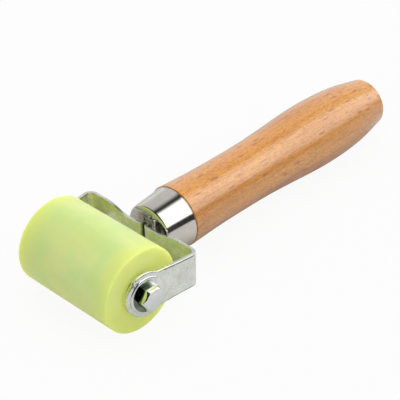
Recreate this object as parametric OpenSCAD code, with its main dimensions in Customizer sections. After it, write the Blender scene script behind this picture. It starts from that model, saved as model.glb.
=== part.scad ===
// Rubber brayer: a soft roller on ball bearings, held by a two-piece strip fork,
// with a ferruled wooden handle. Millimetres.
// Origin: the middle of the roller, on the axle. +X runs along the axle towards the bolt's head,
// +Y runs along the handle, and +Z is up.

/* [Roller] */
// Outside diameter of the roller
roller_d = 38.1; // [36:0.1:42]
// Length of the roller
roller_w = 52.5; // [50:0.5:56]
// Rounding at the ends of the roller
roller_round = 1; // [0.5:0.25:2]
// Outside diameter of the core tube under the soft cover
core_d = 25; // [22:0.25:28]
// How far the soft cover wraps over each end of the core
cover_lip = 2; // [1.5:0.25:2.5]
// Diameter of the opening in each end of the soft cover
cover_opening_d = 17; // [16.6:0.1:18]

/* [Bearings] */
// Bore of the ball bearings, which is also the nominal size of the bolt
bearing_bore_d = 6; // [6:6]
// Outside diameter of the ball bearings
bearing_d = 19; // [19:19]
// Width of a ball bearing
bearing_w = 6; // [6:6]
// Number of balls in a bearing
ball_count = 7; // [6:1:7]
// Diameter of a ball
ball_d = 3.5; // [3.4:0.01:3.52]
// Diameter of the circle that the balls run on
ball_circle_d = 12.5; // [12.45:0.05:12.55]

/* [Fork] */
// Thickness of the fork's steel strip
strip_t = 1.5; // [1.2:0.1:1.8]
// Height of the arms
arm_h = 16; // [14:0.5:18]
// Height of the web's narrow middle and of the tang
tang_h = 11; // [9:0.5:12]
// Diameter of the round eye at the end of each arm
eye_d = 20; // [19:0.2:22]
// Distance between the outer faces of the two eyes
eye_span = 59.2; // [59:0.2:62]
// Angle at which each arm opens outwards from its eye
arm_flare = 10.3; // [4:0.1:11]
// Distance from the axle to the web's front face
web_y = 25.7; // [25:0.1:27]
// Outer radius of the bends at the corners
corner_r = 4; // [3:0.5:5]
// Outer radius of the bends where the web turns back into the tang
tang_bend_r = 3; // [2.5:0.5:4]
// Distance from the axle to the tang's end
tang_end_y = 76; // [60:1:100]

/* [Axle] */
// Diameter of the bolt's shank
shank_d = 5.94; // [5.8:0.02:5.96]
// Size across the flats of the bolt's head
head_flats = 10; // [10:0.5:11]
// Height of the bolt's head
head_h = 4; // [3.8:0.1:4.2]
// Diameter of the flat on top of the bolt's head
head_face_d = 9.6; // [9.2:0.1:9.8]
// Size across the flats of the lock nut
nut_flats = 10; // [10:0.5:11]
// Height of the lock nut
nut_h = 6; // [5.8:0.1:6.4]
// Diameter of the washers under the head and the nut
washer_d = 16.4; // [15:0.2:17]
// Thickness of the washers under the head and the nut
washer_t = 0.8; // [0.8:0.1:1.2]
// Outside diameter of the sleeves between the bearings and the fork
sleeve_d = 9.4; // [9:0.1:9.8]

/* [Handle] */
// Distance from the axle to the flat face of the ferrule
ferrule_y = 29.8; // [29.6:0.1:31]
// Length of the ferrule
ferrule_l = 15; // [12:0.5:18]
// Diameter of the ferrule at its front
ferrule_front_d = 24.4; // [23:0.1:26]
// Diameter of the ferrule at its back
ferrule_back_d = 27; // [26:0.1:27.6]
// Wall of the ferrule
ferrule_t = 0.8; // [0.6:0.1:1]
// Diameter of the handle behind the ferrule
handle_start_d = 28; // [27.8:0.1:29]
// Diameter of the handle at its neck
handle_neck_d = 26.3; // [25:0.1:27]
// Largest diameter of the handle
handle_belly_d = 30.6; // [29:0.1:32]
// Distance from the axle to the handle's neck
handle_neck_y = 82; // [78:1:86]
// Distance from the axle to the thickest place of the handle
handle_belly_y = 134; // [130:1:138]
// Distance from the axle to the handle's end
handle_end_y = 171.2; // [169:0.1:175]
// Radius of the curve from the belly to the end, seen from the side
handle_end_curve_r = 172; // [165:1:200]
// Rounding at the rim of the handle's end
handle_rim_r = 1.4; // [1:0.1:2]

/* [Hidden] */
$fn = 72;

running_gap = 0.05;           // radial clearance of a race on its balls
hidden_gap = 0.03;            // clearance between pieces that are driven or glued together

// The roller's inside
core_w = roller_w - 2 * cover_lip;
seat_depth = bearing_w + 0.25;
core_shoulder_d = 16.4;
bearing_x = core_w / 2 - bearing_w / 2 - 0.25;

// The bearing's races, cage and shields
inner_ring_d = 10;
outer_ring_bore_d = 15;
shield_t = 0.35;
shield_bore_d = 10.6;
shield_d = 16.4;
shield_x = bearing_w / 2 - 0.45;
shield_recess_w = 0.9;
cage_w = 4.2;
cage_t = 1.2;
pocket_gap = 0.08;
groove_r = ball_d / 2 + running_gap;

// The fork
eye_x = eye_span / 2;
bolt_hole_d = bearing_bore_d + 0.3;
flare_y = 8.5;
corner_y = web_y + strip_t - corner_r;
corner_x = eye_x + (corner_y - flare_y) * tan(arm_flare) - corner_r / cos(arm_flare);
tang_x = hidden_gap / 2;
taper_outer_x = 21;
taper_inner_x = 8.5;
taper_steps = 12;
tang_point = 4;

// The bolt and the nut
nut_face_x = -eye_x - washer_t;
head_base_x = eye_x + washer_t;
bolt_end_x = nut_face_x - nut_h - 1.2;
head_chamfer = 52;
nut_chamfer = 30;
nut_face_d = 9.2;
thread_chamfer = 0.8;
nut_hex_h = 4.4;
nut_collar_d = 8.8;
insert_w = 1.2;
insert_d = 7.8;
insert_x = nut_face_x - nut_h + insert_w / 2 + 0.4;

// The handle and the ferrule
ferrule_bevel = 0.8;
ferrule_end_y = ferrule_y + ferrule_l;
slot_gap = 0.2;
slot_w = 2 * strip_t + 2 * slot_gap;
slot_h = tang_h + 2 * slot_gap;
slot_depth_y = tang_end_y + 2;
neck_steps = 10;
belly_steps = 14;
end_steps = 10;
rim_steps = 6;
neck_skew = 1.15;

// Lays a shape that stands on the origin along +Z down along +X.
module along_x() { rotate([0, 90, 0]) children(); }

// A ring about the axle, centred at x.
module ring_x(x, w, outer_d, inner_d) {
  translate([x, 0, 0]) along_x() difference() {
    cylinder(d = outer_d, h = w, center = true);
    cylinder(d = inner_d, h = w + 2, center = true);
  }
}

// ---- Roller -------------------------------------------------------------------------------

module roller_cover() {
  color([0.80, 0.90, 0.45]) difference() {
    along_x() rotate_extrude() roller_outline();
    along_x() cylinder(d = core_d, h = core_w, center = true);
    along_x() cylinder(d = cover_opening_d, h = roller_w + 2, center = true);
  }
}

// Half of the roller's section: a rectangle with two rounded outer corners.
module roller_outline() {
  r = roller_d / 2;
  h = roller_w / 2;
  difference() {
    translate([0, -h]) square([r, roller_w]);
    for (side = [-1, 1])
      translate([r - roller_round, side * (h - roller_round)])
        difference() {
          translate([0, side > 0 ? 0 : -roller_round - 1]) square(roller_round + 1);
          circle(r = roller_round);
        }
  }
}

module roller_core() {
  color([0.75, 0.76, 0.78]) difference() {
    along_x() cylinder(d = core_d, h = core_w, center = true);
    along_x() cylinder(d = core_shoulder_d, h = core_w + 2, center = true);
    for (side = [-1, 1])
      translate([side * (core_w / 2 - seat_depth / 2 + 0.5), 0, 0])
        along_x() cylinder(d = bearing_d, h = seat_depth + 1, center = true);
  }
}

// ---- Bearings -----------------------------------------------------------------------------

// The torus that the balls sweep, widened by the running gap.
module ball_groove() {
  along_x() rotate_extrude() translate([ball_circle_d / 2, 0]) circle(r = groove_r);
}

module bearing_outer() {
  color([0.70, 0.71, 0.73]) difference() {
    ring_x(0, bearing_w, bearing_d, outer_ring_bore_d);
    ball_groove();
    for (side = [-1, 1])
      translate([side * (bearing_w / 2 - shield_recess_w / 2 + 0.5), 0, 0])
        along_x() cylinder(d = shield_d, h = shield_recess_w + 1, center = true);
  }
}

module bearing_inner() {
  color([0.70, 0.71, 0.73]) difference() {
    ring_x(0, bearing_w, inner_ring_d, bearing_bore_d);
    ball_groove();
  }
}

module bearing_balls() {
  color([0.85, 0.86, 0.88])
    for (i = [0 : ball_count - 1])
      rotate([i * 360 / ball_count, 0, 0]) translate([0, 0, ball_circle_d / 2]) sphere(d = ball_d);
}

module bearing_cage() {
  color([0.78, 0.70, 0.50]) difference() {
    ring_x(0, cage_w, ball_circle_d + cage_t, ball_circle_d - cage_t);
    for (i = [0 : ball_count - 1])
      rotate([i * 360 / ball_count, 0, 0])
        translate([0, 0, ball_circle_d / 2]) sphere(r = ball_d / 2 + pocket_gap);
  }
}

module bearing_shields() {
  color([0.60, 0.61, 0.63])
    for (side = [-1, 1]) ring_x(side * shield_x, shield_t, shield_d, shield_bore_d);
}

// ---- Axle ---------------------------------------------------------------------------------

module inner_spacer() {
  inner_w = 2 * bearing_x - bearing_w;
  color([0.72, 0.73, 0.75]) ring_x(0, inner_w, sleeve_d, bearing_bore_d + 0.2);
}

module side_spacer() {
  from = bearing_x + bearing_w / 2;
  to = eye_x - strip_t;
  color([0.72, 0.73, 0.75]) ring_x((from + to) / 2, to - from, sleeve_d, bearing_bore_d + 0.2);
}

// A hexagon bar standing on the origin, with its outer corners turned down to a cone.
module hex_bar(flats, h, face_d, angle) {
  corner_d = flats / cos(30);
  cone_d = corner_d + 2;
  cone_h = (cone_d - face_d) / 2 * tan(angle);
  intersection() {
    cylinder(d = corner_d, h = h + 1, $fn = 6);
    rotate_extrude()
      polygon([[0, -1], [cone_d / 2, -1], [cone_d / 2, h - cone_h], [face_d / 2, h], [0, h]]);
  }
}

// The shank, from inside the head to its chamfered end.
module shank() {
  r = shank_d / 2;
  l = head_base_x - bolt_end_x + 1;
  translate([bolt_end_x, 0, 0]) along_x() rotate_extrude()
    polygon([[0, 0], [r - thread_chamfer, 0], [r, thread_chamfer], [r, l], [0, l]]);
}

module axle_bolt() {
  color([0.80, 0.82, 0.84]) union() {
    translate([head_base_x, 0, 0]) rotate([30, 0, 0]) along_x()
      hex_bar(head_flats, head_h, head_face_d, head_chamfer);
    shank();
  }
}

module washer(x) {
  color([0.78, 0.80, 0.82]) ring_x(x, washer_t, washer_d, bearing_bore_d + 0.4);
}

module head_washer() { washer(eye_x + washer_t / 2); }
module nut_washer() { washer(-eye_x - washer_t / 2); }

module axle_nut() {
  color([0.78, 0.80, 0.82]) difference() {
    translate([nut_face_x, 0, 0]) mirror([1, 0, 0]) along_x() union() {
      rotate([0, 0, 30]) hex_bar(nut_flats, nut_hex_h, nut_face_d, nut_chamfer);
      cylinder(d = nut_collar_d, h = nut_h);
    }
    translate([nut_face_x - nut_h / 2, 0, 0]) along_x()
      cylinder(d = bearing_bore_d, h = nut_h + 2, center = true);
    translate([insert_x, 0, 0]) along_x()
      cylinder(d = insert_d, h = insert_w, center = true);
  }
}

module nut_insert() {
  color([0.20, 0.35, 0.65])
    ring_x(insert_x, insert_w - 2 * hidden_gap, insert_d - 2 * hidden_gap, bearing_bore_d);
}

// ---- Fork ---------------------------------------------------------------------------------

// Half of the height that the web and tang keep at distance x from the middle.
function half_h(x) =
  let (t = min(1, max(0, (x - taper_inner_x) / (taper_outer_x - taper_inner_x))))
  tang_h / 2 + (arm_h - tang_h) / 2 * (1 - cos(180 * t)) / 2;

// The strip seen from the front, from the middle out to past the corner.
module front_outline() {
  far_x = eye_x + 10;
  upper = [for (i = [0 : taper_steps])
    let (x = taper_inner_x + (taper_outer_x - taper_inner_x) * i / taper_steps) [x, half_h(x)]];
  lower = [for (i = [taper_steps : -1 : 0]) [upper[i][0], -upper[i][1]]];
  tip_z = eye_d / 2 + 1;
  polygon(concat([[-1, tang_h / 2]], upper, [[taper_outer_x + 2, arm_h / 2], [taper_outer_x + 2, tip_z],
    [far_x, tip_z], [far_x, -tip_z], [taper_outer_x + 2, -tip_z], [taper_outer_x + 2, -arm_h / 2]],
    lower, [[-1, -tang_h / 2]]));
}

// The strip seen from the side: round eye, arm, and the tang with its driven point.
module side_outline() {
  back_y = web_y + strip_t + 0.5;
  h = tang_h / 2;
  circle(d = eye_d);
  translate([0, -arm_h / 2]) square([back_y, arm_h]);
  polygon([[0, -h], [tang_end_y - tang_point, -h], [tang_end_y, -h + tang_point],
    [tang_end_y, h - tang_point], [tang_end_y - tang_point, h], [0, h]]);
}

// A bend of the strip seen from above, from one angle over a sweep.
module bend_outline(centre, outer_r, from, sweep) {
  far = 2 * outer_r;
  translate(centre) intersection() {
    difference() {
      circle(r = outer_r);
      circle(r = outer_r - strip_t);
    }
    polygon([[0, 0], [far * cos(from), far * sin(from)],
      [far * cos(from + sweep / 2), far * sin(from + sweep / 2)],
      [far * cos(from + sweep), far * sin(from + sweep)]]);
  }
}

// The bent strip seen from above: flat eye, flared arm, corner, web, bend and tang.
module plan_outline() {
  c = cos(arm_flare);
  s = sin(arm_flare);
  end_x = corner_x + corner_r * c;
  end_y = corner_y - corner_r * s;
  polygon([[eye_x - strip_t, -eye_d], [eye_x, -eye_d], [eye_x, flare_y], [end_x, end_y],
    [end_x - strip_t * c, end_y + strip_t * s],
    [eye_x - strip_t, flare_y + strip_t * tan(arm_flare / 2)]]);
  bend_outline([corner_x, corner_y], corner_r, -arm_flare, 90 + arm_flare);
  translate([tang_x + tang_bend_r, web_y]) square([corner_x - tang_bend_r - tang_x, strip_t]);
  bend_outline([tang_x + tang_bend_r, web_y + tang_bend_r], tang_bend_r, 180, 90);
  translate([tang_x, web_y + tang_bend_r]) square([strip_t, tang_end_y]);
}

// The near half: eye, flared arm, corner, half of the web, and half of the tang.
module fork_half() {
  depth = eye_d + 2;
  difference() {
    intersection() {
      translate([0, 0, -depth / 2]) linear_extrude(depth) plan_outline();
      rotate([90, 0, 90]) linear_extrude(eye_x + 10) side_outline();
      translate([0, tang_end_y + 1, 0]) rotate([90, 0, 0])
        linear_extrude(tang_end_y + eye_d) front_outline();
    }
    translate([eye_x - strip_t / 2, 0, 0]) along_x()
      cylinder(d = bolt_hole_d, h = strip_t + 2, center = true);
  }
}

module fork_right() { color([0.78, 0.82, 0.85]) fork_half(); }
module fork_left() { color([0.78, 0.82, 0.85]) mirror([1, 0, 0]) fork_half(); }

// ---- Handle -------------------------------------------------------------------------------

// The tang's slot, as a bar along Y.
module tang_slot(from, to) {
  translate([-slot_w / 2, from, -slot_h / 2]) cube([slot_w, to - from, slot_h]);
}

// Section of the ferrule's outside or inside: a tapered cup with a bevelled front rim, whose back
// edge can run on past the ferrule's end at the same taper.
module ferrule_outline(shrink, from, past) {
  front_r = ferrule_front_d / 2 - shrink;
  back_r = ferrule_back_d / 2 - shrink;
  slope = (ferrule_back_d - ferrule_front_d) / 2 / (ferrule_l - ferrule_bevel);
  bevel = ferrule_bevel;
  end_y = ferrule_end_y + past;
  polygon([[0, from], [front_r - bevel, from], [front_r, from + bevel],
    [back_r + past * slope, end_y], [0, end_y]]);
}

module ferrule() {
  color([0.88, 0.88, 0.88]) difference() {
    along_y_turned() ferrule_outline(0, ferrule_y, 0);
    along_y_turned() ferrule_outline(ferrule_t, ferrule_y + ferrule_t, 1);
    tang_slot(ferrule_y - 1, ferrule_y + 4);
  }
}

// Turns a section, drawn with the radius along X and the length along Y, about the handle's axis.
module along_y_turned() { rotate([-90, 0, 0]) rotate_extrude() children(); }

// Radius of the handle at distance y from the axle.
function neck_r(y) =
  let (t = (handle_neck_y - y) / (handle_neck_y - ferrule_end_y))
  handle_neck_d / 2 + (handle_start_d - handle_neck_d) / 2 * pow(max(0, t), 2);
function belly_r(y) =
  let (t = pow((y - handle_neck_y) / (handle_belly_y - handle_neck_y), neck_skew))
  handle_neck_d / 2 + (handle_belly_d - handle_neck_d) / 2 * (1 - cos(180 * t)) / 2;
function end_r(y) =
  handle_belly_d / 2 - handle_end_curve_r
  + sqrt(pow(handle_end_curve_r, 2) - pow(y - handle_belly_y, 2));

module handle_outline() {
  rim_y = handle_end_y - handle_rim_r;
  rim_r = end_r(rim_y) - handle_rim_r;
  neck = [for (i = [0 : neck_steps])
    let (y = ferrule_end_y + (handle_neck_y - ferrule_end_y) * i / neck_steps) [neck_r(y), y]];
  belly = [for (i = [1 : belly_steps])
    let (y = handle_neck_y + (handle_belly_y - handle_neck_y) * i / belly_steps) [belly_r(y), y]];
  tail = [for (i = [1 : end_steps])
    let (y = handle_belly_y + (rim_y - handle_belly_y) * i / end_steps) [end_r(y), y]];
  rim = [for (i = [1 : rim_steps])
    let (a = 90 * i / rim_steps) [rim_r + handle_rim_r * cos(a), rim_y + handle_rim_r * sin(a)]];
  polygon(concat([[0, ferrule_end_y]], neck, belly, tail, rim, [[0, handle_end_y]]));
}

module handle() {
  color([0.80, 0.52, 0.28]) difference() {
    union() {
      along_y_turned() ferrule_outline(ferrule_t + hidden_gap, ferrule_y + ferrule_t + hidden_gap, 0);
      along_y_turned() handle_outline();
    }
    tang_slot(ferrule_y - 1, slot_depth_y);
  }
}

// ---- Assembly -----------------------------------------------------------------------------

module at_right() { translate([bearing_x, 0, 0]) children(); }
module at_left() { translate([-bearing_x, 0, 0]) children(); }

roller_cover();
roller_core();
at_right() bearing_outer();  // bearing_outer_right
at_left() bearing_outer();  // bearing_outer_left
at_right() bearing_inner();  // bearing_inner_right
at_left() bearing_inner();  // bearing_inner_left
at_right() bearing_balls();  // bearing_balls_right
at_left() bearing_balls();  // bearing_balls_left
at_right() bearing_cage();  // bearing_cage_right
at_left() bearing_cage();  // bearing_cage_left
at_right() bearing_shields();  // bearing_shields_right
at_left() bearing_shields();  // bearing_shields_left
inner_spacer();
side_spacer();  // side_spacer_right
mirror([1, 0, 0]) side_spacer();  // side_spacer_left
axle_bolt();
head_washer();
nut_washer();
axle_nut();
nut_insert();
fork_right();
fork_left();
ferrule();
handle();
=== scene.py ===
import math

import bmesh
import bpy
from mathutils import Matrix, Vector


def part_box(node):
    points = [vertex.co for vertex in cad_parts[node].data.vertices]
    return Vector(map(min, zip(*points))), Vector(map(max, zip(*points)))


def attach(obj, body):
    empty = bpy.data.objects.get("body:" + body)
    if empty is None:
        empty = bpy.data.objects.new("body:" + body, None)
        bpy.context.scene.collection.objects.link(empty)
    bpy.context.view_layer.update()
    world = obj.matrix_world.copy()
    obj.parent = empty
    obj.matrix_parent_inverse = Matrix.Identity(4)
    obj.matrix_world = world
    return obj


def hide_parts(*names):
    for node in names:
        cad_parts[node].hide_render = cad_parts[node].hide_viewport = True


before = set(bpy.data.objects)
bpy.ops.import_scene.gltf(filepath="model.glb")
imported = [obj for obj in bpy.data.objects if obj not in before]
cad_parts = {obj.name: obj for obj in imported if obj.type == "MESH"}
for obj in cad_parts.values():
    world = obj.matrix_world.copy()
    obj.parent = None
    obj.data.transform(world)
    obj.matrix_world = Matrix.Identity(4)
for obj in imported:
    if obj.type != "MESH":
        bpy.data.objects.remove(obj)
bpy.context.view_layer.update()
MM = 0.001


# ---------------------------------------------------------------- soft cover of the roller
# A sleeve of clear lime urethane, cast round the core and over its two ends, then ground to size.
# The cast stays cloudy, so light wanders through it; its glow and its yellower rims are painted
# light.

COVER_R = 19.05 * MM
COVER_HALF = 26.25 * MM
COVER_ROUND = 1.0 * MM
COVER_MOUTH_R = 8.5 * MM
COVER_BORE_R = 12.5 * MM
COVER_BORE_HALF = 24.25 * MM


def arc(cx, cy, r, start, end, steps):
    """Points on an arc in a lathe section, angles in degrees."""
    return [(cx + r * math.cos(math.radians(start + (end - start) * i / steps)),
             cy + r * math.sin(math.radians(start + (end - start) * i / steps)))
            for i in range(steps + 1)]


def divided(points, longest):
    """The same closed section, with its long straight runs cut into shorter ones."""
    out = []
    for a, b in zip(points, points[1:] + points[:1]):
        n = max(1, math.ceil(math.dist(a, b) / longest))
        out += [(a[0] + (b[0] - a[0]) * i / n, a[1] + (b[1] - a[1]) * i / n) for i in range(n)]
    return out


def skin(bm, rings):
    """Faces between each ring of points and the next."""
    for one, two in zip(rings, rings[1:]):
        for i in range(len(one)):
            j = (i + 1) % len(one)
            bm.faces.new((one[i], one[j], two[j], two[i]))


def lathe(name, section, axis, turns=160):
    """A solid of revolution: section is a closed loop of (radius, place along the axis)."""
    bm = bmesh.new()
    rows = []
    for k in range(turns):
        a = 2 * math.pi * k / turns
        c, s = math.cos(a), math.sin(a)
        row = []
        for r, t in section:
            at = (t, r * c, r * s) if axis == "x" else (r * c, t, r * s)
            row.append(bm.verts.new(at))
        rows.append(row)
    skin(bm, rows + rows[:1])
    bmesh.ops.remove_doubles(bm, verts=bm.verts, dist=1e-6)
    return made(name, bm)


def made(name, bm, smooth_deg=35):
    """Turns a finished bmesh into an object at the origin, smooth except at its real edges."""
    bmesh.ops.recalc_face_normals(bm, faces=bm.faces)
    mesh = bpy.data.meshes.new(name)
    bm.to_mesh(mesh)
    bm.free()
    mesh.shade_smooth()
    mesh.set_sharp_from_angle(angle=math.radians(smooth_deg))
    ob = bpy.data.objects.new(name, mesh)
    bpy.context.scene.collection.objects.link(ob)
    return ob


class Nodes:
    """Short words for building a material's node tree."""

    def __init__(self, name):
        self.material = bpy.data.materials.new(name)
        self.material.use_nodes = True
        self.tree = self.material.node_tree
        self.shader = self.tree.nodes["Principled BSDF"]
        self.place = self.new("ShaderNodeTexCoord").outputs["Object"]

    def new(self, kind, **settings):
        node = self.tree.nodes.new(kind)
        for key, value in settings.items():
            setattr(node, key, value)
        return node

    def join(self, source, target):
        self.tree.links.new(source, target)

    def put(self, node, name, value):
        socket = node.inputs[name]
        if isinstance(value, bpy.types.NodeSocket):
            self.join(value, socket)
        else:
            socket.default_value = value

    def stretched(self, scale, offset=(0, 0, 0), turn=(0, 0, 0)):
        """The piece's own coordinates, scaled, for a pattern that runs one way."""
        node = self.new("ShaderNodeMapping")
        self.join(self.place, node.inputs["Vector"])
        node.inputs["Scale"].default_value = scale
        node.inputs["Location"].default_value = offset
        node.inputs["Rotation"].default_value = turn
        return node.outputs["Vector"]

    def noise(self, vector, scale, detail=3.0, rough=0.5, warp=0.0):
        node = self.new("ShaderNodeTexNoise")
        self.join(vector, node.inputs["Vector"])
        self.put(node, "Scale", scale)
        self.put(node, "Detail", detail)
        self.put(node, "Roughness", rough)
        self.put(node, "Distortion", warp)
        return node.outputs["Fac"]

    def ramp(self, value, *stops):
        """Colours or greys against a 0 to 1 value."""
        node = self.new("ShaderNodeValToRGB")
        self.join(value, node.inputs["Fac"])
        bar = node.color_ramp
        while len(bar.elements) < len(stops):
            bar.elements.new(0.5)
        for element, (at, colour) in zip(bar.elements, stops):
            element.position = at
            if isinstance(colour, (int, float)):
                colour = (colour, colour, colour)
            element.color = (*colour, 1.0)
        return node.outputs["Color"]

    def mix(self, fac, a, b, kind="MIX"):
        node = self.new("ShaderNodeMix", data_type="RGBA", blend_type=kind)
        self.put(node, "Factor", fac)
        for socket, value in ((node.inputs[6], a), (node.inputs[7], b)):
            if isinstance(value, bpy.types.NodeSocket):
                self.join(value, socket)
            else:
                socket.default_value = (*value, 1.0)
        return node.outputs[2]

    def math(self, kind, a, b=0.0, c=0.0):
        node = self.new("ShaderNodeMath", operation=kind)
        for socket, value in zip(node.inputs, (a, b, c)):
            if isinstance(value, bpy.types.NodeSocket):
                self.join(value, socket)
            else:
                socket.default_value = value
        return node.outputs[0]

    def span(self, value, low, high, to_low=0.0, to_high=1.0, smooth=False):
        """Stretches the value's run from low to high, to run from to_low to to_high."""
        node = self.new("ShaderNodeMapRange")
        node.interpolation_type = "SMOOTHSTEP" if smooth else "LINEAR"
        for name, v in (("Value", value), ("From Min", low), ("From Max", high),
                        ("To Min", to_low), ("To Max", to_high)):
            self.put(node, name, v)
        return node.outputs["Result"]

    def times(self, *factors):
        """The factors multiplied together."""
        product = factors[0]
        for factor in factors[1:]:
            product = self.math("MULTIPLY", product, factor)
        return product

    def length(self, a, b):
        """Distance from the origin to (a, b)."""
        return self.math("SQRT", self.math("ADD", self.times(a, a), self.times(b, b)))

    def split(self, vector):
        node = self.new("ShaderNodeSeparateXYZ")
        self.join(vector, node.inputs[0])
        return node.outputs["X"], node.outputs["Y"], node.outputs["Z"]

    def bump(self, height, depth, strength=1.0, under=None):
        node = self.new("ShaderNodeBump")
        self.join(height, node.inputs["Height"])
        node.inputs["Distance"].default_value = depth
        node.inputs["Strength"].default_value = strength
        if under is not None:
            self.join(under, node.inputs["Normal"])
        return node.outputs["Normal"]

    def finish(self, colour, rough, normal=None, **constants):
        """Joins up the shader; the constants are set on its own sockets."""
        self.join(colour, self.shader.inputs["Base Color"])
        self.put(self.shader, "Roughness", rough)
        if normal is not None:
            self.join(normal, self.shader.inputs["Normal"])
        for name, value in constants.items():
            self.shader.inputs[name.replace("_", " ")].default_value = value
        return self.material


mouth_round = 0.4 * MM
cover_section = divided(
    [(COVER_BORE_R, -COVER_BORE_HALF), (COVER_MOUTH_R, -COVER_BORE_HALF)]
    + arc(COVER_MOUTH_R + mouth_round, -COVER_HALF + mouth_round, mouth_round, 180, 270, 4)
    + arc(COVER_R - COVER_ROUND, -COVER_HALF + COVER_ROUND, COVER_ROUND, 270, 360, 8)
    + arc(COVER_R - COVER_ROUND, COVER_HALF - COVER_ROUND, COVER_ROUND, 0, 90, 8)
    + arc(COVER_MOUTH_R + mouth_round, COVER_HALF - mouth_round, mouth_round, 90, 180, 4)
    + [(COVER_MOUTH_R, COVER_BORE_HALF), (COVER_BORE_R, COVER_BORE_HALF)], 4 * MM)
roller_cover = lathe("soft_cover", cover_section, "x", 192)

m = Nodes("cast_urethane")
x, y, z = m.split(m.place)
along = m.math("ABSOLUTE", x)
rim = m.span(along, 0.015, 0.0264, 0.0, 1.0, smooth=True)
streaks = m.noise(m.stretched((14, 70, 70)), 1.0, 2, 0.5, 0.4)
clouds = m.noise(m.place, 55, 3, 0.5)
green = m.ramp(streaks, (0.30, (0.34, 0.43, 0.17)), (0.50, (0.39, 0.47, 0.21)),
               (0.70, (0.47, 0.53, 0.27)))
# Painted light: the base colour turns yellower towards the rims, as light shining through the thin
# ends.
glow = m.mix(m.math("MULTIPLY", rim, 0.50), green, (0.44, 0.48, 0.15))
tone = m.mix(m.span(clouds, 0.44, 0.66, 0.0, 0.35), glow, (0.29, 0.46, 0.21))
fine = m.noise(m.stretched((90, 900, 900)), 1.0, 2, 0.5)
# The Emission Strength below gives the whole cover a painted glow that lifts its shading.
urethane = m.finish(
    tone, m.span(clouds, 0.3, 0.7, 0.36, 0.46), m.bump(fine, 0.00004, 0.35),
    Subsurface_Weight=0.9, Subsurface_Radius=(1.0, 0.95, 0.35), Subsurface_Scale=0.014,
    Subsurface_Anisotropy=0.4, IOR=1.49, Specular_IOR_Level=0.35, Emission_Strength=0.32)
# The painted glow's colour, turned yellower towards the rims.
painted_glow_colour = m.mix(m.span(clouds, 0.42, 0.62), (0.90, 0.92, 0.31), (0.74, 0.90, 0.28))
m.join(m.mix(rim, painted_glow_colour, (0.96, 1.0, 0.20)), m.shader.inputs["Emission Color"])
roller_cover.data.materials.append(urethane)
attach(roller_cover, "roller")
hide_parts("roller_cover")


# ---------------------------------------------------------------- core and ball bearings
# Turned aluminium core with a 626 ball bearing pressed in each end: ground rings, seven balls in a
# pressed cage, and thin shields. Sleeves on the bolt hold the bearings apart and off the fork.

def dress(material, *nodes):
    """Gives the named parts of the frame their finish."""
    for name in nodes:
        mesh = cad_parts[name].data
        mesh.materials.clear()
        mesh.materials.append(material)


def turned_metal(name, colour, rough, metal=1.0, depth=0.00002, direction=(900, 30, 30)):
    """Metal with the fine rings of turning or grinding, and small changes of tone."""
    n = Nodes(name)
    rings = n.noise(n.stretched(direction), 1.0, 2, 0.5)
    patches = n.noise(n.place, 90, 3, 0.5)
    dark = tuple(c * 0.88 for c in colour)
    tone = n.mix(n.span(patches, 0.35, 0.65), colour, dark)
    return n.finish(tone, n.span(rings, 0.3, 0.7, rough * 0.8, rough * 1.25),
                    n.bump(rings, depth, 0.4), Metallic=metal)


dress(turned_metal("turned_aluminium", (0.78, 0.79, 0.80), 0.34), "roller_core")
dress(turned_metal("ground_bearing_steel", (0.62, 0.63, 0.65), 0.22),
      "bearing_outer_right", "bearing_outer_left", "bearing_inner_right", "bearing_inner_left")
dress(turned_metal("pressed_cage", (0.55, 0.54, 0.52), 0.42, direction=(80, 80, 80)),
      "bearing_cage_right", "bearing_cage_left")
dress(turned_metal("pressed_shields", (0.60, 0.61, 0.63), 0.30, direction=(200, 80, 80)),
      "bearing_shields_right", "bearing_shields_left")
dress(turned_metal("turned_sleeves", (0.70, 0.71, 0.73), 0.30),
      "inner_spacer", "side_spacer_right", "side_spacer_left")


def ball_tree(material):
    """A ring of balls round the axle: how many, how big, on what circle and where along it."""
    tree = bpy.data.node_groups.new("ring_of_balls", "GeometryNodeTree")
    face = tree.interface
    face.new_socket("Balls", in_out="INPUT", socket_type="NodeSocketInt")
    face.new_socket("Ball Radius", in_out="INPUT", socket_type="NodeSocketFloat")
    face.new_socket("Circle Radius", in_out="INPUT", socket_type="NodeSocketFloat")
    face.new_socket("Along Axle", in_out="INPUT", socket_type="NodeSocketFloat")
    face.new_socket("Geometry", in_out="OUTPUT", socket_type="NodeSocketGeometry")
    given = tree.nodes.new("NodeGroupInput").outputs
    circle = tree.nodes.new("GeometryNodeMeshCircle")
    turned = tree.nodes.new("GeometryNodeTransform")
    place = tree.nodes.new("ShaderNodeCombineXYZ")
    ball = tree.nodes.new("GeometryNodeMeshIcoSphere")
    spread = tree.nodes.new("GeometryNodeInstanceOnPoints")
    smooth = tree.nodes.new("GeometryNodeSetShadeSmooth")
    solid = tree.nodes.new("GeometryNodeRealizeInstances")
    finish = tree.nodes.new("GeometryNodeSetMaterial")
    out = tree.nodes.new("NodeGroupOutput")
    ball.inputs["Subdivisions"].default_value = 4
    turned.inputs["Rotation"].default_value = (0, math.pi / 2, 0)
    finish.inputs["Material"].default_value = material
    for source, target in (
            (given["Balls"], circle.inputs["Vertices"]),
            (given["Circle Radius"], circle.inputs["Radius"]),
            (given["Ball Radius"], ball.inputs["Radius"]),
            (given["Along Axle"], place.inputs["X"]),
            (circle.outputs[0], turned.inputs["Geometry"]),
            (place.outputs[0], turned.inputs["Translation"]),
            (turned.outputs[0], spread.inputs["Points"]),
            (ball.outputs[0], smooth.inputs["Geometry"]),
            (smooth.outputs[0], spread.inputs["Instance"]),
            (spread.outputs[0], solid.inputs[0]),
            (solid.outputs[0], finish.inputs["Geometry"]),
            (finish.outputs[0], out.inputs[0])):
        tree.links.new(source, target)
    return tree


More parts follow.
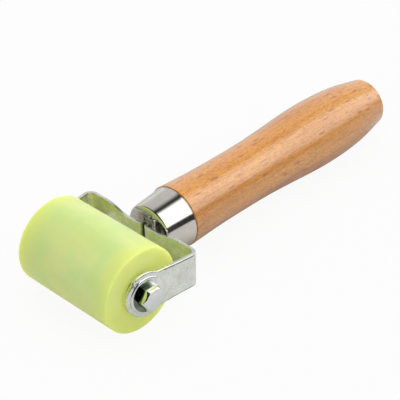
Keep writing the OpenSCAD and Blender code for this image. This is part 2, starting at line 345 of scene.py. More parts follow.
BALLS = 7
BALL_R = 1.75 * MM
BALL_CIRCLE_R = 6.25 * MM
polished = turned_metal("polished_balls", (0.78, 0.79, 0.81), 0.08, direction=(60, 60, 60))
ring_of_balls = ball_tree(polished)


def set_solid(ob):
    """Turns what an object's modifiers make of it into its own plain mesh."""
    ob.data.update()
    ready = ob.evaluated_get(bpy.context.evaluated_depsgraph_get())
    ob_mesh = bpy.data.meshes.new_from_object(ready)
    ob.modifiers.clear()
    ob_mesh.name = ob.name
    ob.data = ob_mesh


for side in ("right", "left"):
    low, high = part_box("bearing_balls_" + side)
    balls = bpy.data.objects.new("ball_ring_" + side, bpy.data.meshes.new("blank"))
    bpy.context.scene.collection.objects.link(balls)
    mod = balls.modifiers.new("balls", "NODES")
    mod.node_group = ring_of_balls
    values = {"Balls": BALLS, "Ball Radius": BALL_R, "Circle Radius": BALL_CIRCLE_R,
              "Along Axle": (low[0] + high[0]) / 2}
    for socket in ring_of_balls.interface.items_tree:
        if socket.in_out == "INPUT":
            mod[socket.identifier] = values[socket.name]
    set_solid(balls)
    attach(balls, "balls_" + side)
    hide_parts("bearing_balls_" + side)


# ---------------------------------------------------------------- fork
# Two mirror-image halves of zinc-plated 1.5 mm strip. Each is blanked with a round eye, bent into
# arm, corner and web, and folded back into a tang; the tangs lie back to back in the handle.

STRIP_T = 1.5 * MM
ARM_HALF_H = 8 * MM
TANG_HALF_H = 5.5 * MM
EYE_R = 9.9 * MM
EYE_X = 29.62 * MM
BOLT_HOLE_R = 3.15 * MM
WEB_Y = 25.7 * MM
CORNER_R = 4 * MM
TANG_BEND_R = 3 * MM
TANG_END_Y = 76 * MM
TANG_X = 0.015 * MM
TANG_POINT = 4 * MM
TOE = math.radians(6.5)       # how far each arm opens outwards
LEAN = 0.07                   # how far an eye leans in at its top, for each unit of height
ROLL_OVER = 0.30 * MM         # how far blanking draws the strip's outer edge down
TAPER_OUT = 21 * MM
TAPER_IN = 8.5 * MM
CORNER_Y = WEB_Y + STRIP_T - CORNER_R
CORNER_X = EYE_X + CORNER_Y * math.tan(TOE) - CORNER_R / math.cos(TOE)


def strip_path():
    """The middle line of the strip in plan, from the eye's far side to the tang's end."""
    mid = STRIP_T / 2
    step, stop = CORNER_Y * 0.145, CORNER_Y - 1.2 * MM
    arm = [-EYE_R * math.cos(TOE) + step * i for i in range(10)]
    points = [(EYE_X - mid / math.cos(TOE) + y * math.tan(TOE), y) for y in arm if y < stop]
    r = CORNER_R - mid
    for i in range(17):
        a = -TOE + (math.pi / 2 + TOE) * i / 16
        points.append((CORNER_X + r * math.cos(a), CORNER_Y + r * math.sin(a)))
    web_x = TANG_X + TANG_BEND_R
    points += [(CORNER_X + (web_x - CORNER_X) * i / 24, WEB_Y + mid) for i in range(1, 24)]
    r = TANG_BEND_R - mid
    for i in range(13):
        a = -math.pi / 2 - math.pi / 2 * i / 12
        points.append((web_x + r * math.cos(a), WEB_Y + TANG_BEND_R + r * math.sin(a)))
    points += [(TANG_X + mid, WEB_Y + TANG_BEND_R + (TANG_END_Y - WEB_Y - TANG_BEND_R) * i / 16)
               for i in range(1, 17)]
    return points


path = strip_path()
reach = [0.0]
for a, b in zip(path, path[1:]):
    reach.append(reach[-1] + math.dist(a, b))


def on_path(s):
    """Point on the strip's middle line, s metres from its start."""
    for i in range(len(reach) - 1):
        if s <= reach[i + 1] or i == len(reach) - 2:
            t = (s - reach[i]) / (reach[i + 1] - reach[i])
            (ax, ay), (bx, by) = path[i], path[i + 1]
            return ax + (bx - ax) * t, ay + (by - ay) * t


def half_height(s):
    """Half of the strip's height: full on the arm, less along the web, pointed at the end."""
    px, py = on_path(s)
    left = reach[-1] - s
    if left < TANG_POINT:
        return TANG_HALF_H - (TANG_POINT - left)
    if py < WEB_Y - 3 * MM:
        return ARM_HALF_H
    t = min(1.0, max(0.0, (px - TAPER_IN) / (TAPER_OUT - TAPER_IN)))
    return TANG_HALF_H + (ARM_HALF_H - TANG_HALF_H) * (1 - math.cos(math.pi * t)) / 2


def eye_outline(angle):
    """Radius of the blank round the eye: the round end, flowing into the arm's straight edges."""
    rise = abs(math.sin(angle))
    if math.cos(angle) <= 0 or rise < 1e-6:
        return EYE_R
    edge = ARM_HALF_H / rise
    if edge >= 3 * EYE_R:
        return edge
    easing = 0.5 * MM
    return easing * math.log(1.0 + math.exp((edge - EYE_R) / easing)) + EYE_R


def fork_blank():
    """The flat blank on its middle surface as columns and rings of faces, bent along the path."""
    bm = bmesh.new()
    join_s = 9.2 * MM
    lean_from, lean_over = 20 * MM, 14 * MM
    up = [-1.0, -0.94] + [-0.84 + 1.68 * i / 12 for i in range(13)] + [0.94, 1.0]

    def at(s, z):
        """A point of the blank: s along it from the eye's middle, z above its middle line."""
        px, py = on_path(EYE_R + s)
        sprung = min(1.0, max(0.0, (lean_from - py) / lean_over)) if px > CORNER_X else 0.0
        return bm.verts.new((px - LEAN * z * sprung * sprung * (3 - 2 * sprung), py, z))

    column = [at(join_s, ARM_HALF_H * u) for u in up]
    corner = math.atan2(ARM_HALF_H, join_s)
    around = 72
    outer = list(column)
    angles = [math.atan2(ARM_HALF_H * u, join_s) for u in up]
    for i in range(1, around):
        a = corner + (2 * math.pi - 2 * corner) * i / around
        angles.append(a)
        r = eye_outline(a)
        outer.append(at(r * math.cos(a), r * math.sin(a)))
    loops = [outer]
    for f in (0.925, 0.66, 0.33, 0.0):
        loop = []
        for v, a in zip(outer, angles):
            z_out = v.co.z
            s_out = join_s if v in column else eye_outline(a) * math.cos(a)
            s_in, z_in = BOLT_HOLE_R * math.cos(a), BOLT_HOLE_R * math.sin(a)
            loop.append(at(s_in + (s_out - s_in) * f, z_in + (z_out - z_in) * f))
        loops.append(loop)
    skin(bm, loops)
    stations = [s - EYE_R for s in reach if s - EYE_R > join_s + 0.4 * MM]
    stations.append(stations[-1] - TANG_POINT)
    before = column
    for s in sorted(set(stations)):
        h = half_height(EYE_R + s)
        now = [at(s, h * u) for u in up]
        for i in range(len(up) - 1):
            bm.faces.new((before[i], now[i], now[i + 1], before[i + 1]))
        before = now
    return bm


def thicken(bm, thickness):
    """Gives a middle surface its wall, half to each side, with the outer edge drawn down."""
    bmesh.ops.recalc_face_normals(bm, faces=bm.faces)
    bm.normal_update()
    front = list(bm.faces)
    rim = [e for e in bm.edges if e.is_boundary]
    normals = {v: v.normal.copy() for v in bm.verts}
    near = {v: bm.verts.new(v.co - normal * thickness / 2) for v, normal in normals.items()}
    for v, normal in normals.items():
        outer = v.is_boundary and math.hypot(v.co.y, v.co.z) > 2 * BOLT_HOLE_R
        v.co = v.co + normal * (thickness / 2 - (ROLL_OVER if outer else 0.0))
    for f in front:
        bm.faces.new([near[v] for v in reversed(f.verts)])
    for e in rim:
        a, b = e.verts
        if e.link_loops[0].vert is not a:
            a, b = b, a
        bm.faces.new((b, a, near[a], near[b]))
    return bm


def shade(ob):
    """Smooth, except at a piece's real edges."""
    ob.data.shade_smooth()
    ob.data.set_sharp_from_angle(angle=math.radians(50))


def eased(ob, width, segments=2, angle=40):
    """Softens a piece's sharp edges, as blanking, tumbling or sanding leaves them."""
    mod = ob.modifiers.new("eased", "BEVEL")
    mod.width = width
    mod.segments = segments
    mod.limit_method = "ANGLE"
    mod.angle_limit = math.radians(angle)
    mod.harden_normals = False
    set_solid(ob)
    shade(ob)
    return ob


def mirrored(ob, name):
    """The same piece, left for right."""
    bm = bmesh.new()
    bm.from_mesh(ob.data)
    bmesh.ops.transform(bm, matrix=Matrix.Diagonal((-1, 1, 1, 1)), verts=bm.verts)
    bmesh.ops.reverse_faces(bm, faces=bm.faces)
    mesh = bpy.data.meshes.new(name)
    bm.to_mesh(mesh)
    bm.free()
    twin = bpy.data.objects.new(name, mesh)
    bpy.context.scene.collection.objects.link(twin)
    return twin


SEAM_X = (0.6 * MM, 1.4 * MM)         # painted shade in the gap between the two tangs, from the middle out
SEAM_Y = (28.2 * MM, 29.0 * MM)
EDGE_REFLECTION_Z = 7.45 * MM                   # where a painted dark reflection runs along the arms' edges
EDGE_REFLECTION_W = (0.08 * MM, 0.24 * MM)
EDGE_REFLECTION_Y = ((8.8 * MM, 9.8 * MM), (23.5 * MM, 24.5 * MM))
m = Nodes("satin_zinc")
spangle = m.noise(m.place, 210, 4, 0.6, 0.4)
bloom = m.noise(m.place, 60, 3, 0.5)
rolled = m.noise(m.stretched((60, 60, 900)), 1.0, 2, 0.5)
tone = m.ramp(spangle, (0.30, (0.66, 0.68, 0.62)), (0.50, (0.80, 0.81, 0.75)),
              (0.70, (0.90, 0.91, 0.85)))
tone = m.mix(m.span(bloom, 0.45, 0.7, 0.0, 0.35), tone, (0.88, 0.92, 0.86))
x, y, z = m.split(m.place)
# Painted shade: the gap between the two tangs is darkened in the colour.
seam_shade = m.times(m.span(m.math("ABSOLUTE", x), *SEAM_X, 0.9, 0.0), m.span(y, *SEAM_Y, 1.0, 0.0))
tone = m.mix(seam_shade, tone, (0.05, 0.07, 0.03))
# Painted reflection: a thin dark line along the arms' edges, where the rolled edge mirrors a dark
# part of the room.
painted_edge_reflection = m.math("ABSOLUTE", m.math("SUBTRACT", m.math("ABSOLUTE", z), EDGE_REFLECTION_Z))
on_arm = m.times(m.span(y, *EDGE_REFLECTION_Y[0]), m.span(y, *EDGE_REFLECTION_Y[1], 1.0, 0.0))
tone = m.mix(m.times(m.span(painted_edge_reflection, *EDGE_REFLECTION_W, 0.85, 0.0), on_arm), tone, (0.06, 0.065, 0.06))
rub = m.noise(m.stretched((260, 260, 1300), turn=(0.5, 0, 0)), 1.0, 3, 0.7)
tone = m.mix(m.span(rub, 0.60, 0.74, 0.0, 0.45), tone, (0.46, 0.48, 0.44))
zinc = m.finish(tone, m.span(spangle, 0.3, 0.7, 0.20, 0.33),
                m.bump(spangle, 0.00006, 0.35, m.bump(rolled, 0.00002, 0.3)), Metallic=1.0)

fork_right = eased(made("fork_strip_right", thicken(fork_blank(), STRIP_T)), 0.28 * MM)
fork_left = mirrored(fork_right, "fork_strip_left")
for ob, node in ((fork_right, "fork_right"), (fork_left, "fork_left")):
    ob.data.materials.append(zinc)
    shade(ob)
    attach(ob, "holder")
    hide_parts(node)


# ---------------------------------------------------------------- bolt, washers and nut
# An M6 bolt through both eyes with its head at the right and a lock nut at the left, each on a wide
# washer with a rounded edge that beds on the eye. Bright zinc plate.

HEAD_FLATS = 10 * MM
HEAD_H = 4.0 * MM
HEAD_FACE_R = 4.8 * MM
HEAD_BASE_X = 30.4 * MM
WASHER_T = 0.8 * MM
WASHER_R = 8.2 * MM
WASHER_HOLE_R = 3.2 * MM
SHANK_R = 2.97 * MM
SHANK_END_X = -37.6 * MM
SHANK_CHAMFER = 0.8 * MM
PITCH = 1.0 * MM
THREAD_DEPTH = 0.5 * MM
THREAD_FROM = -EYE_X + 2 * MM


def cap(bm, ring, at):
    """Closes a ring with a fan of faces to one point."""
    hub = bm.verts.new(at)
    for a, b in zip(ring, ring[1:] + ring[:1]):
        bm.faces.new((a, b, hub))


def hex_radius(flats, angle):
    """Distance from the axis to a hexagon's side, with a corner at angle 0."""
    sector = (angle % (math.pi / 3)) - math.pi / 6
    return flats / 2 / math.cos(sector)


def bolt_head():
    """Hexagon head with its corners turned down to a cone, on a threaded shank."""
    bm = bmesh.new()
    turns = 72
    slope = math.tan(math.radians(58))
    face_x = HEAD_BASE_X + HEAD_H
    low = HEAD_BASE_X - 0.5 * MM
    flat_from = low + 0.2 * MM

    def ring(outline):
        out = []
        for k in range(turns):
            a = 2 * math.pi * k / turns
            px, r = outline(a)
            out.append(bm.verts.new((px, r * math.cos(a), r * math.sin(a))))
        return out

    def edge(a):
        return hex_radius(HEAD_FLATS, a)

    def fall(a):
        """How far the cone has come down from the head's face at the hexagon's side."""
        return (edge(a) - HEAD_FACE_R) * slope

    rings = [ring(lambda a: (low, edge(a) - 0.25 * MM)), ring(lambda a: (flat_from, edge(a)))]
    for f in (0.35, 0.7, 1.0):
        rings.append(ring(lambda a: (flat_from + f * (face_x - flat_from - fall(a)), edge(a))))
    for f in (0.33, 0.66, 0.94):
        rings.append(ring(lambda a: (
            face_x - fall(a) * (1 - f), edge(a) + (HEAD_FACE_R - edge(a)) * f)))
    for r in (HEAD_FACE_R - 0.12 * MM, 3.9 * MM, 2.8 * MM, 1.5 * MM):
        rings.append(ring(lambda a: (face_x, r)))
    skin(bm, rings)
    cap(bm, rings[-1], (face_x, 0, 0))
    shank = [rings[0], ring(lambda a: (low, SHANK_R)), ring(lambda a: (THREAD_FROM, SHANK_R))]
    steps = 8
    count = int((THREAD_FROM - SHANK_END_X - 1.0 * MM) / PITCH * steps)
    for i in range(1, count):
        run_in = min(1.0, i / (2 * steps)) * min(1.0, (count - i) / steps)

        def thread(a):
            phase = (i / steps + a / (2 * math.pi)) % 1.0
            depth = THREAD_DEPTH * min(1.0, max(0.0, 1.35 - abs(phase - 0.5) * 3.4))
            return THREAD_FROM - i / steps * PITCH, SHANK_R - depth * run_in

        shank.append(ring(thread))
    shank.append(ring(lambda a: (SHANK_END_X + 0.5 * MM, SHANK_R - 0.2 * MM)))
    shank.append(ring(lambda a: (SHANK_END_X, SHANK_R - SHANK_CHAMFER)))
    skin(bm, shank)
    cap(bm, shank[-1], (SHANK_END_X, 0, 0))
    return bm


# Painted reflection and shade darken the foot of the head and the nut, on the side towards the
# front.
REFLECTION_FROM_R, REFLECTION_TO_R = (4.8 * MM, 5.0 * MM), (7.1 * MM, 7.4 * MM)
REFLECTION_TO_X, REFLECTION_TO_Y = (32.1 * MM, 32.4 * MM), (0.5 * MM, 3.0 * MM)
m = Nodes("bright_zinc")
smear = m.noise(m.place, 160, 3, 0.55)
specks = m.noise(m.place, 520, 3, 0.6)
tone = m.mix(m.span(smear, 0.4, 0.65), (0.84, 0.85, 0.82), (0.72, 0.74, 0.72))
x, y, z = m.split(m.place)
off_axle = m.length(y, z)
# Mask of the painted dark reflection of the head in the washer, with the painted shade at its foot.
painted_head_reflection = m.times(m.span(off_axle, *REFLECTION_FROM_R), m.span(m.math("ABSOLUTE", x), *REFLECTION_TO_X, 1.0, 0.0),
                m.span(off_axle, *REFLECTION_TO_R, 1.0, 0.0), m.span(y, *REFLECTION_TO_Y, 1.0, 0.0),
                m.span(smear, 0.25, 0.5, 0.86, 1.0))
tone = m.mix(painted_head_reflection, tone, m.ramp(smear, (0.35, (0.06, 0.08, 0.06)), (0.65, (0.24, 0.28, 0.21))))
bright_zinc = m.finish(tone, m.span(specks, 0.35, 0.7, 0.05, 0.12), m.bump(specks, 0.00002, 0.2),
                       Metallic=1.0)
axle_bolt = eased(made("axle_bolt_threaded", bolt_head(), 30), 0.16 * MM, 2, 28)
axle_bolt.data.materials.append(bright_zinc)
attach(axle_bolt, "holder")
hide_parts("axle_bolt")
dress(bright_zinc, "axle_nut")

under, crown, crown_w = 0.3 * MM, WASHER_T - 0.3 * MM, 1.0 * MM
hole_ease = 0.1 * MM
quarter = [math.pi / 2 * i / 8 for i in range(9)]
washer_section = (
    [(WASHER_HOLE_R, 0.0)] + arc(WASHER_R - under, under, under, 270, 340, 3)
    + [(WASHER_R - crown_w * (1 - math.cos(a)), under + crown * math.sin(a)) for a in quarter]
    + [(5.6 * MM, WASHER_T), (WASHER_HOLE_R + hole_ease, WASHER_T),
       (WASHER_HOLE_R, WASHER_T - hole_ease)])
washer_right = lathe("head_washer_rounded", washer_section, "x", 96)
bedded = Matrix(((1, math.tan(TOE), -LEAN, EYE_X), (0, 1, 0, 0), (0, 0, 1, 0), (0, 0, 0, 1)))
washer_right.data.transform(bedded)
washer_left = mirrored(washer_right, "nut_washer_rounded")
for ob, node in ((washer_right, "head_washer"), (washer_left, "nut_washer")):
    ob.data.materials.append(bright_zinc)
    shade(ob)
    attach(ob, "holder")
    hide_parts(node)

# The ring of nylon that grips the thread inside the nut.
m = Nodes("moulded_nylon")
grain = m.noise(m.place, 700, 2, 0.5)
nylon = m.finish(m.ramp(grain, (0.3, (0.10, 0.22, 0.55)), (0.7, (0.13, 0.27, 0.62))), 0.45,
                 m.bump(grain, 0.00003, 0.3))
dress(nylon, "nut_insert")


# ---------------------------------------------------------------- ferrule
# A drawn brass cup, nickel plated and polished, pressed on the handle's nose. Its flat face is
# pierced for the tang and its open edge is rolled to a fine bead.

FERRULE_Y = 29.8 * MM
FERRULE_END = 44.8 * MM
FERRULE_FRONT_R = 12.2 * MM
FERRULE_BACK_R = 13.5 * MM
FERRULE_T = 0.8 * MM
FERRULE_NOSE = 0.8 * MM
SLOT_HALF_W = 1.7 * MM
SLOT_HALF_H = 5.7 * MM


def ferrule_r(y):
    """Outside radius of the ferrule's tapered wall at y."""
    wall = FERRULE_Y + FERRULE_NOSE
    return FERRULE_FRONT_R + (FERRULE_BACK_R - FERRULE_FRONT_R) * (y - wall) / (FERRULE_END - wall)


def slot_edge(a, grow=0.0):
    """Distance from the middle of the face to the edge of the tang's slot."""
    w, h = SLOT_HALF_W + grow, SLOT_HALF_H + grow
    c, s = abs(math.cos(a)), abs(math.sin(a))
    return min(w / c if c > 1e-9 else 1e9, h / s if s > 1e-9 else 1e9)


def ferrule_cup():
    """The cup as rings round the handle's axis, from the slot over the face and down the wall."""
    bm = bmesh.new()
    corner = math.atan2(SLOT_HALF_H, SLOT_HALF_W)
    angles = []
    for start, end, n in ((-corner, corner, 24), (corner, math.pi - corner, 12),
                          (math.pi - corner, math.pi + corner, 24),
                          (math.pi + corner, 2 * math.pi - corner, 12)):
        angles += [start + (end - start) * i / n for i in range(n)]
    dense = []
    for a, b in zip(angles, angles[1:] + [angles[0] + 2 * math.pi]):
        dense += [a, (a + b) / 2]

    def ring(y, radius=0.0, hole=0.0, grow=0.0):
        """Points at y: on the slot's edge where hole is 1, on the circle where it is 0."""
        mixed = [slot_edge(a, grow) * hole + radius * (1 - hole) for a in dense]
        return [bm.verts.new((r * math.cos(a), y, r * math.sin(a))) for r, a in zip(mixed, dense)]

    inside_y = FERRULE_Y + FERRULE_T
    face_r = FERRULE_FRONT_R - 1.15 * MM
    nose_r, bead_r = 1.1 * MM, 0.35 * MM
    wall_from, wall_to, rim_y = FERRULE_Y + nose_r, FERRULE_END - 0.9 * MM, FERRULE_END - 0.1 * MM
    rings = [ring(inside_y, hole=1), ring(FERRULE_Y + 0.25 * MM, hole=1),
             ring(FERRULE_Y + 0.06 * MM, hole=1, grow=0.12 * MM)]
    rings += [ring(FERRULE_Y, face_r, hole, 0.30 * MM) for hole in (1, 0.7, 0.4, 0.15, 0)]
    for i in range(1, 9):
        a = math.pi / 2 * i / 8
        rings.append(ring(FERRULE_Y + nose_r * (1 - math.cos(a)), face_r + nose_r * math.sin(a)))
    for i in range(1, 14):
        y = wall_from + (wall_to - wall_from) * i / 13
        rings.append(ring(y, ferrule_r(y)))
    for i in range(7):
        a = math.pi * (-0.28 + 0.86 * i / 6)
        rings.append(ring(FERRULE_END - 0.38 * MM + bead_r * math.sin(a),
                          FERRULE_BACK_R - 0.25 * MM + bead_r * math.cos(a)))
    rings.append(ring(rim_y, FERRULE_BACK_R - FERRULE_T))
    for i in range(1, 7):
        y = rim_y + (inside_y - rim_y) * i / 6
        rings.append(ring(y, ferrule_r(y) - FERRULE_T))
    rings += [ring(inside_y, FERRULE_FRONT_R - FERRULE_T, hole) for hole in (0.3, 0.6)]
    skin(bm, rings + rings[:1])
    return bm


m = Nodes("bright_nickel")
haze = m.noise(m.place, 120, 3, 0.5)
polish = m.noise(m.stretched((40, 700, 40)), 1.0, 2, 0.5)
tone = m.mix(m.span(haze, 0.4, 0.7), (0.72, 0.685, 0.63), (0.66, 0.625, 0.565))
nickel = m.finish(tone, m.span(haze, 0.3, 0.7, 0.085, 0.135), m.bump(polish, 0.00001, 0.2),
                  Metallic=1.0)
ferrule = made("nickel_ferrule", ferrule_cup(), 40)
ferrule.data.materials.append(nickel)
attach(ferrule, "holder")
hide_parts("ferrule")


# ---------------------------------------------------------------- handle
# Turned from a straight-grained beech blank, sanded, and dipped in clear lacquer.

# Distance from the axle and radius, in millimetres, where the turner checks the handle.
STATIONS = ((44.8, 14), (48.2, 13.85), (63.6, 13.25), (79, 13.15), (94.3, 13.35),
            (109.7, 14.15), (125, 15.1), (140.5, 15.2), (155.8, 14.05), (169.8, 11.5))
END_Y = 171.2 * MM
RIM_R = 1.4 * MM
NOSE_Y = FERRULE_Y + FERRULE_T + 0.03 * MM


def through(points, x):
    """A smooth curve through the turning stations."""
    n = len(points)
    i = max(0, min(n - 2, next((k for k in range(n - 1) if x <= points[k + 1][0]), n - 2)))
    (x0, y0), (x1, y1) = points[i], points[i + 1]

    def grade(k):
        (ax, ay), (bx, by) = points[max(0, k - 1)], points[min(n - 1, k + 1)]
        return (by - ay) / (bx - ax)

    h = x1 - x0
    t = (x - x0) / h
    return (y0 * (2 * t**3 - 3 * t**2 + 1) + y1 * (3 * t**2 - 2 * t**3)
            + grade(i) * h * (t**3 - 2 * t**2 + t) + grade(i + 1) * h * (t**3 - t**2))


def handle_form():
    """The handle's skin: nose, shoulder, grip and rounded end, closed at both ends."""
    bm = bmesh.new()
    turns = 144
    section = [(2.2 * MM, NOSE_Y), (FERRULE_FRONT_R - 1.65 * MM, NOSE_Y)]
    section += [(ferrule_r(y) - FERRULE_T - 0.04 * MM, y)
                for y in (NOSE_Y + FERRULE_NOSE, 38 * MM, FERRULE_END)]
    first = STATIONS[0][1] * MM
    section += [(first - 0.3 * MM, FERRULE_END + 0.01 * MM),
                (first - 0.05 * MM, FERRULE_END + 0.1 * MM),
                (first, FERRULE_END + 0.35 * MM)]
    low, high, count = 45.6, STATIONS[-1][0], 90
    for i in range(count + 1):
        y = low + (high - low) * i / count
        section.append((through(STATIONS, y) * MM, y * MM))
    last_r = section[-1][0]
    lean = math.radians(12)
    for i in range(1, 9):
        a = lean + (math.pi / 2 - lean) * i / 8
        section.append((last_r - RIM_R * (math.cos(lean) - math.cos(a)),
                        END_Y - RIM_R * (1 - math.sin(a))))
    section += [(0.8 * section[-1][0], END_Y), (0.55 * last_r, END_Y), (0.3 * last_r, END_Y)]
    around = [2 * math.pi * k / turns for k in range(turns)]
    rows = [[bm.verts.new((r * math.cos(a), t, r * math.sin(a))) for a in around]
            for r, t in section]
    skin(bm, rows)
    cap(bm, rows[0], (0, NOSE_Y, 0))
    cap(bm, rows[-1], (0, END_Y, 0))
    return bm


PITH = (0.034, 0.0, -0.021)      # where the tree's middle lies, seen from the handle's
RINGS_PER_METRE = 420
SWAY = 0.006                     # how far the yearly rings wander from true circles
m = Nodes("lacquered_beech")
sway = m.new("ShaderNodeTexNoise")
m.join(m.stretched((30, 6, 30)), sway.inputs["Vector"])
m.put(sway, "Scale", 1.0)
m.put(sway, "Detail", 2.0)
shift = m.new("ShaderNodeVectorMath", operation="SCALE")
m.join(sway.outputs["Color"], shift.inputs[0])
m.put(shift, "Scale", SWAY)
warp = m.new("ShaderNodeVectorMath", operation="ADD")
m.join(m.stretched((1, 0.045, 1), PITH), warp.inputs[0])
m.join(shift.outputs[0], warp.inputs[1])
x, y, z = m.split(warp.outputs[0])
year = m.math("FRACT", m.times(m.length(x, z), RINGS_PER_METRE))
late = m.ramp(year, (0.0, 0.0), (0.70, 0.35), (0.93, 1.0), (1.0, 0.0))
broad = m.noise(m.stretched((70, 7, 70)), 1.0, 3, 0.55, 0.3)
pores = m.noise(m.stretched((2300, 170, 2300)), 1.0, 2, 0.6)
streak = m.noise(m.stretched((420, 14, 420)), 1.0, 3, 0.6)
base = m.ramp(broad, (0.30, (0.60, 0.225, 0.026)), (0.50, (0.75, 0.305, 0.040)),
              (0.70, (0.86, 0.39, 0.070)))
base = m.mix(m.times(late, 0.38), base, (0.38, 0.135, 0.032))
base = m.mix(m.span(streak, 0.40, 0.66, 0.0, 0.28), base, (0.84, 0.47, 0.15))
dark_streak = m.noise(m.stretched((520, 20, 520), (0.3, 0.1, 0.7)), 1.0, 3, 0.6)
base = m.mix(m.span(dark_streak, 0.52, 0.70, 0.0, 0.34), base, (0.33, 0.105, 0.020))


def flecks(direction, offset, size):
    """Beech's short dark dashes along the grain, and a chance value for each."""
    node = m.new("ShaderNodeTexVoronoi")
    m.join(m.stretched(direction, offset), node.inputs["Vector"])
    m.put(node, "Scale", 1.0)
    return m.span(node.outputs["Distance"], *size, 1.0, 0.0), m.split(node.outputs["Color"])[0]


dash, _ = flecks((1900, 430, 1900), (0, 0, 0), (0.24, 0.40))
chance = m.span(m.noise(m.stretched((240, 70, 240)), 1.0, 2, 0.5), 0.36, 0.62, 0.25, 1.0)
base = m.mix(m.times(dash, chance, 0.62), base, (0.28, 0.070, 0.010))
dash, pick = flecks((600, 125, 600), (0.5, 0.1, 0.3), (0.18, 0.34))
base = m.mix(m.times(dash, m.span(pick, 0.62, 0.66), 0.75), base, (0.30, 0.070, 0.010))
mottle = m.noise(m.stretched((1500, 520, 1500), (0.2, 0.4, 0.6)), 1.0, 3, 0.6)
base = m.mix(m.span(mottle, 0.46, 0.62, 0.0, 0.50), base, (0.46, 0.150, 0.020))
base = m.mix(m.span(pores, 0.56, 0.72, 0.0, 0.45), base, (0.30, 0.105, 0.025))
beech = m.finish(base, m.span(pores, 0.3, 0.7, 0.34, 0.44), m.bump(pores, 0.00008, 0.35),
                 Coat_Weight=1.0, Coat_Roughness=0.22, Coat_IOR=1.75)
raised = m.noise(m.stretched((1700, 420, 1700)), 1.0, 2, 0.6)
m.join(m.bump(raised, 0.00010, 0.8), m.shader.inputs["Coat Normal"])
handle = made("beech_handle", handle_form(), 50)
handle.data.materials.append(beech)
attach(handle, "holder")
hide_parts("handle")


# ---------------------------------------------------------------- bench, lights and camera
# A plain pale bench that the roller and the handle's belly rest on. The light comes from a tall
# window at the bolt's side, a white ceiling and a paler wall, with two soft fill lights.

LEAST_SLOPE = 0.028
belly_y, belly_r = max(STATIONS, key=lambda at: at[1] + at[0] * LEAST_SLOPE)
tilt = math.asin((COVER_R - belly_r * MM) / (belly_y * MM))
bm = bmesh.new()
bmesh.ops.create_grid(bm, x_segments=24, y_segments=24, size=3.0)
bmesh.ops.transform(bm, matrix=Matrix.Rotation(tilt, 4, "X"), verts=bm.verts)
bmesh.ops.translate(bm, vec=(0, 0, -COVER_R / math.cos(tilt)), verts=bm.verts)
bench = made("pale_bench", bm)
BACKDROP = 0.93
m = Nodes("pale_bench_paint")
fibre = m.noise(m.place, 300, 3, 0.5)
glow = m.new("ShaderNodeEmission")
m.put(glow, "Color", (1, 1, 1, 1))
m.put(glow, "Strength", 1.0)
m.finish(m.ramp(fibre, (0.3, 0.60), (0.7, 0.62)), 0.6)
seen = m.new("ShaderNodeLightPath").outputs["Is Camera Ray"]
share = m.new("ShaderNodeMixShader")
m.join(m.times(seen, BACKDROP), share.inputs["Fac"])
m.join(m.shader.outputs[0], share.inputs[1])
m.join(glow.outputs[0], share.inputs[2])
m.join(share.outputs[0], m.tree.nodes["Material Output"].inputs["Surface"])
bench.data.materials.append(m.material)

AZIMUTH, ELEVATION, ROLL = math.radians(44.92), math.radians(35.0), math.radians(-1.07)
DISTANCE = 657.1 * MM
AIM = Vector((0, 63 * MM, 0))
ASIDE, ABOVE = -1.92 * MM, -0.76 * MM
LENS, SENSOR = 138.06, 36.0
ca, sa, ce, se = math.cos(AZIMUTH), math.sin(AZIMUTH), math.cos(ELEVATION), math.sin(ELEVATION)
back = Vector((sa * ce, -ca * ce, se))
level = Vector((ca, sa, 0))
plumb = back.cross(level)
right = math.cos(ROLL) * level + math.sin(ROLL) * plumb
up = math.cos(ROLL) * plumb - math.sin(ROLL) * level
spot = AIM + right * ASIDE + up * ABOVE + back * DISTANCE
camera_data = bpy.data.cameras.new("camera")
camera_data.sensor_width = SENSOR
camera_data.lens = LENS
camera_data.clip_start = 0.01
camera_data.clip_end = 50
camera = bpy.data.objects.new("camera", camera_data)
camera.matrix_world = (Matrix.Translation(spot)
                       @ Matrix((right, up, back)).transposed().to_4x4())
bpy.context.scene.collection.objects.link(camera)
bpy.context.scene.camera = camera


def softbox(name, towards, distance, width, height, power):
    """A rectangular soft light, facing the brayer from the given direction."""
    data = bpy.data.lights.new(name, "AREA")
    data.shape = "RECTANGLE"
    data.size, data.size_y = width, height
    data.energy = power
    ob = bpy.data.objects.new(name, data)
    way = Vector(towards).normalized()
    ob.matrix_world = (Matrix.Translation(AIM + way * distance)
                       @ way.to_track_quat("Z", "Y").to_matrix().to_4x4())
    bpy.context.scene.collection.objects.link(ob)
    return ob


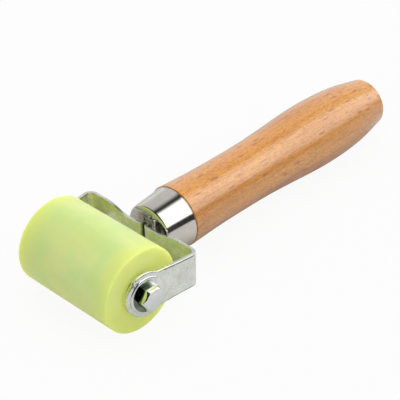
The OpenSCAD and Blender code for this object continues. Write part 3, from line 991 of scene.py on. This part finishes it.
fill = softbox("front_fill", (0.15, -0.95, 0.55), 1.6, 1.2, 0.9, 6)
top = softbox("top", (-0.25, 0.10, 1.0), 1.3, 1.0, 1.0, 8)
fill.visible_glossy = top.visible_glossy = False

world = bpy.data.worlds.new("room")
bpy.context.scene.world = world
world.use_nodes = True
tree = world.node_tree


def room_node(kind, *sources, **settings):
    """A node of the room's light, with its inputs joined or set in order."""
    node = tree.nodes.new(kind)
    for key, value in settings.items():
        setattr(node, key, value)
    for socket, source in zip(node.inputs, sources):
        if isinstance(source, bpy.types.NodeSocket):
            tree.links.new(source, socket)
        else:
            socket.default_value = source
    return node.outputs


def calc(kind, *sources):
    """One step of arithmetic on the room's light."""
    return room_node("ShaderNodeMath", *sources, operation=kind)[0]


def soft_edge(value, low, high):
    """From dark at low to light at high, without a hard edge."""
    return room_node("ShaderNodeMapRange", value, low, high, 0.0, 1.0,
                     interpolation_type="SMOOTHSTEP")[0]


ROOM, WINDOW, CEILING, WALL = 0.04, 1.9, 0.66, 0.35
ways = room_node("ShaderNodeTexCoord")["Generated"]
x, y, z = room_node("ShaderNodeSeparateXYZ", ways)
over = calc("MULTIPLY", calc("ARCTAN2", z, x), 180 / math.pi)
window = calc("MULTIPLY", calc("MULTIPLY", soft_edge(over, 19, 25), soft_edge(over, 92, 76)),
                soft_edge(y, -0.30, -0.10))
ceiling = calc("MULTIPLY", soft_edge(over, 96, 116), soft_edge(y, -0.75, -0.15))
wall = calc("MULTIPLY", soft_edge(over, 150, 185), soft_edge(y, -0.75, -0.15))
light = calc("MULTIPLY_ADD", window, WINDOW, ROOM)
light = calc("MULTIPLY_ADD", ceiling, CEILING, light)
light = calc("MULTIPLY_ADD", wall, WALL, light)
seen = room_node("ShaderNodeLightPath")["Is Camera Ray"]
light = calc("MULTIPLY", light, calc("SUBTRACT", 1.0, seen))
light = calc("MULTIPLY_ADD", seen, BACKDROP, light)
sky = tree.nodes["Background"]
sky.inputs["Color"].default_value = (0.98, 0.99, 1.0, 1)
tree.links.new(light, sky.inputs["Strength"])
bpy.context.scene.view_settings.view_transform = "Standard"
